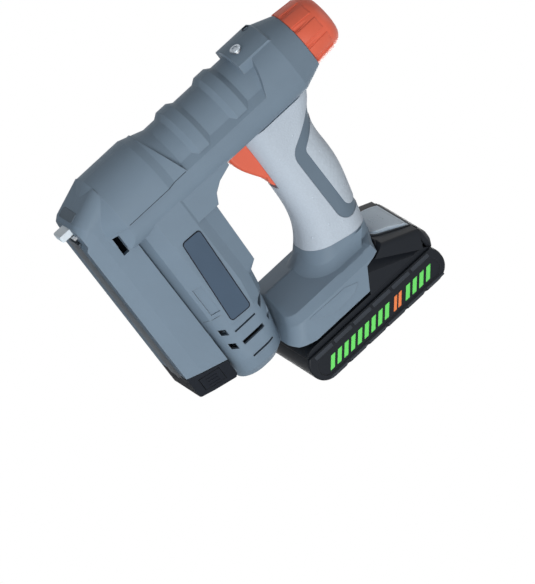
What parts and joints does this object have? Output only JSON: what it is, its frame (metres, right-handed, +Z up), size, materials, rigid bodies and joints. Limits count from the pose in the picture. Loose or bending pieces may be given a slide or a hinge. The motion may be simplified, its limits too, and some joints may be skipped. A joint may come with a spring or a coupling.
{
  "type": "cordless stapler",
  "caption": "Hand held power stapler: upright barrel with a power knob, grip handle, motor column, staple magazine with a drawer, nose tip and a slide-on battery",
  "frame": {"origin": "Middle of the nose tip's contact face.", "axes": "+Z runs up the barrel, against the drive; +X runs from the barrel to the battery; +Y is the tool's right side."},
  "size_m": [0.211, 0.074, 0.2255],
  "materials": {
    "housing": "fine grained slate plastic",
    "grip": "light grey soft grip",
    "orange": "orange plastic",
    "black": "black plastic",
    "button": "grey plastic",
    "steel": "bright steel",
    "dark_steel": "oiled steel",
    "brass": "plain",
    "pale": "pale plastic",
    "bumper": "black rubber",
    "board": "green board",
    "cell": "wrapped cell",
    "magnet": "grey"
  },
  "bodies": {
    "housing": {"left_housing": "housing", "right_housing": "housing", "left_grip": "grip", "right_grip": "grip", "left_palm_patch": "grip", "right_palm_patch": "grip", "housing_screws": "steel", "front_screw": "steel", "guide_rods": "steel", "bumper": "bumper", "ring_gear": "dark_steel", "output_bearing": "steel", "motor_can": "dark_steel", "motor_magnets": "magnet", "motor_cap": "black", "front_plate": "steel", "trigger_pin": "steel", "trigger_switch": "black", "magazine_track": "steel", "terminal_block": "black", "terminal_blades": "brass", "control_board": "board", "main_spring": "dark_steel", "nose_spring": "steel", "trigger_spring": "steel"},
    "knob": {"power_knob": "orange", "adjusting_screw": "steel"},
    "seat": {"spring_seat": "steel"},
    "hammer": {"hammer": "dark_steel", "driver_blade": "steel"},
    "lifter": {"lifting_gear": "dark_steel", "planet_carrier": "dark_steel"},
    "planet_1": {"planet_gear_1": "dark_steel"},
    "planet_2": {"planet_gear_2": "dark_steel"},
    "planet_3": {"planet_gear_3": "dark_steel"},
    "rotor": {"sun_gear": "dark_steel", "motor_shaft": "steel", "armature": "dark_steel", "cooling_fan": "black"},
    "nose": {"nose_tip": "pale", "nose_arm": "steel"},
    "trigger": {"trigger": "orange"},
    "drawer": {"magazine_rail": "steel", "magazine_end": "black", "staple_strip": "steel", "pusher_spring": "steel", "left_latch_spring": "steel", "right_latch_spring": "steel"},
    "pusher": {"pusher": "steel"},
    "left_latch": {"left_latch": "black"},
    "right_latch": {"right_latch": "black"},
    "battery": {"battery_case": "black", "battery_cover": "black", "battery_cells": "cell", "cell_straps": "steel", "battery_board": "board", "battery_contacts": "brass", "button_spring": "steel"},
    "button": {"release_button": "button"}
  },
  "joints": [
    {"name": "knob_turn", "type": "hinge", "parent": "housing", "child": "knob", "pos_m": [0.0105, 0, 0.21], "axis": [0, 0, 1], "range_deg": [0, 720]},
    {"name": "seat_slide", "type": "slide", "parent": "housing", "child": "seat", "axis": [0, 0, -1], "range_m": [0, 0.006], "deforming": ["main_spring"]},
    {"name": "rotor_spin", "type": "hinge", "parent": "housing", "child": "rotor", "pos_m": [0.1, 0, 0.0585], "axis": [1, 0, 0], "range_deg": [0, 637]},
    {"name": "lift_turn", "type": "hinge", "parent": "housing", "child": "lifter", "pos_m": [0.037, 0, 0.0585], "axis": [1, 0, 0], "range_deg": [0, 137]},
    {"name": "hammer_lift", "type": "slide", "parent": "housing", "child": "hammer", "axis": [0, 0, 1], "range_m": [0, 0.025], "deforming": ["main_spring"]},
    {"name": "planet_1_spin", "type": "hinge", "parent": "lifter", "child": "planet_1", "pos_m": [0.062, 0.0105, 0.0585], "axis": [1, 0, 0], "range_deg": [-376, 0]},
    {"name": "planet_2_spin", "type": "hinge", "parent": "lifter", "child": "planet_2", "pos_m": [0.062, -0.00525, 0.06759], "axis": [1, 0, 0], "range_deg": [-376, 0]},
    {"name": "planet_3_spin", "type": "hinge", "parent": "lifter", "child": "planet_3", "pos_m": [0.062, -0.00525, 0.04941], "axis": [1, 0, 0], "range_deg": [-376, 0]},
    {"name": "nose_press", "type": "slide", "parent": "housing", "child": "nose", "axis": [0, 0, 1], "range_m": [0, 0.0055], "stiffness_N_per_m": 300, "springref_m": -0.002, "deforming": ["nose_spring"]},
    {"name": "trigger_pull", "type": "hinge", "parent": "housing", "child": "trigger", "pos_m": [0.074, 0, 0.137], "axis": [0, 1, 0], "range_deg": [0, 8], "stiffness_Nm_per_rad": 0.3, "springref_deg": -8.02, "deforming": ["trigger_spring"]},
    {"name": "drawer_slide", "type": "slide", "parent": "housing", "child": "drawer", "axis": [1, 0, 0], "range_m": [0, 0.1]},
    {"name": "pusher_slide", "type": "slide", "parent": "drawer", "child": "pusher", "axis": [1, 0, 0], "range_m": [0, 0.03], "stiffness_N_per_m": 50, "springref_m": -0.03, "deforming": ["pusher_spring"]},
    {"name": "left_latch_press", "type": "slide", "parent": "drawer", "child": "left_latch", "axis": [0, 1, 0], "range_m": [0, 0.0015], "stiffness_N_per_m": 200, "springref_m": -0.002, "deforming": ["left_latch_spring"]},
    {"name": "right_latch_press", "type": "slide", "parent": "drawer", "child": "right_latch", "axis": [0, -1, 0], "range_m": [0, 0.0015], "stiffness_N_per_m": 200, "springref_m": -0.002, "deforming": ["right_latch_spring"]},
    {"name": "battery_slide", "type": "slide", "parent": "housing", "child": "battery", "axis": [0, 0, 1], "range_m": [0, 0.09]},
    {"name": "button_press", "type": "slide", "parent": "battery", "child": "button", "axis": [0.9182, 0, -0.3961], "range_m": [0, 0.004], "stiffness_N_per_m": 600, "springref_m": -0.002, "deforming": ["button_spring"]}
  ],
  "couplings": [
    {"joint": "knob_turn", "follows": "seat_slide", "rad_per_m": 2094.4},
    {"joint": "rotor_spin", "follows": "hammer_lift", "rad_per_m": 444.44},
    {"joint": "lift_turn", "follows": "hammer_lift", "rad_per_m": 95.238},
    {"joint": "planet_1_spin", "follows": "hammer_lift", "rad_per_m": -261.9},
    {"joint": "planet_2_spin", "follows": "hammer_lift", "rad_per_m": -261.9},
    {"joint": "planet_3_spin", "follows": "hammer_lift", "rad_per_m": -261.9}
  ]
}
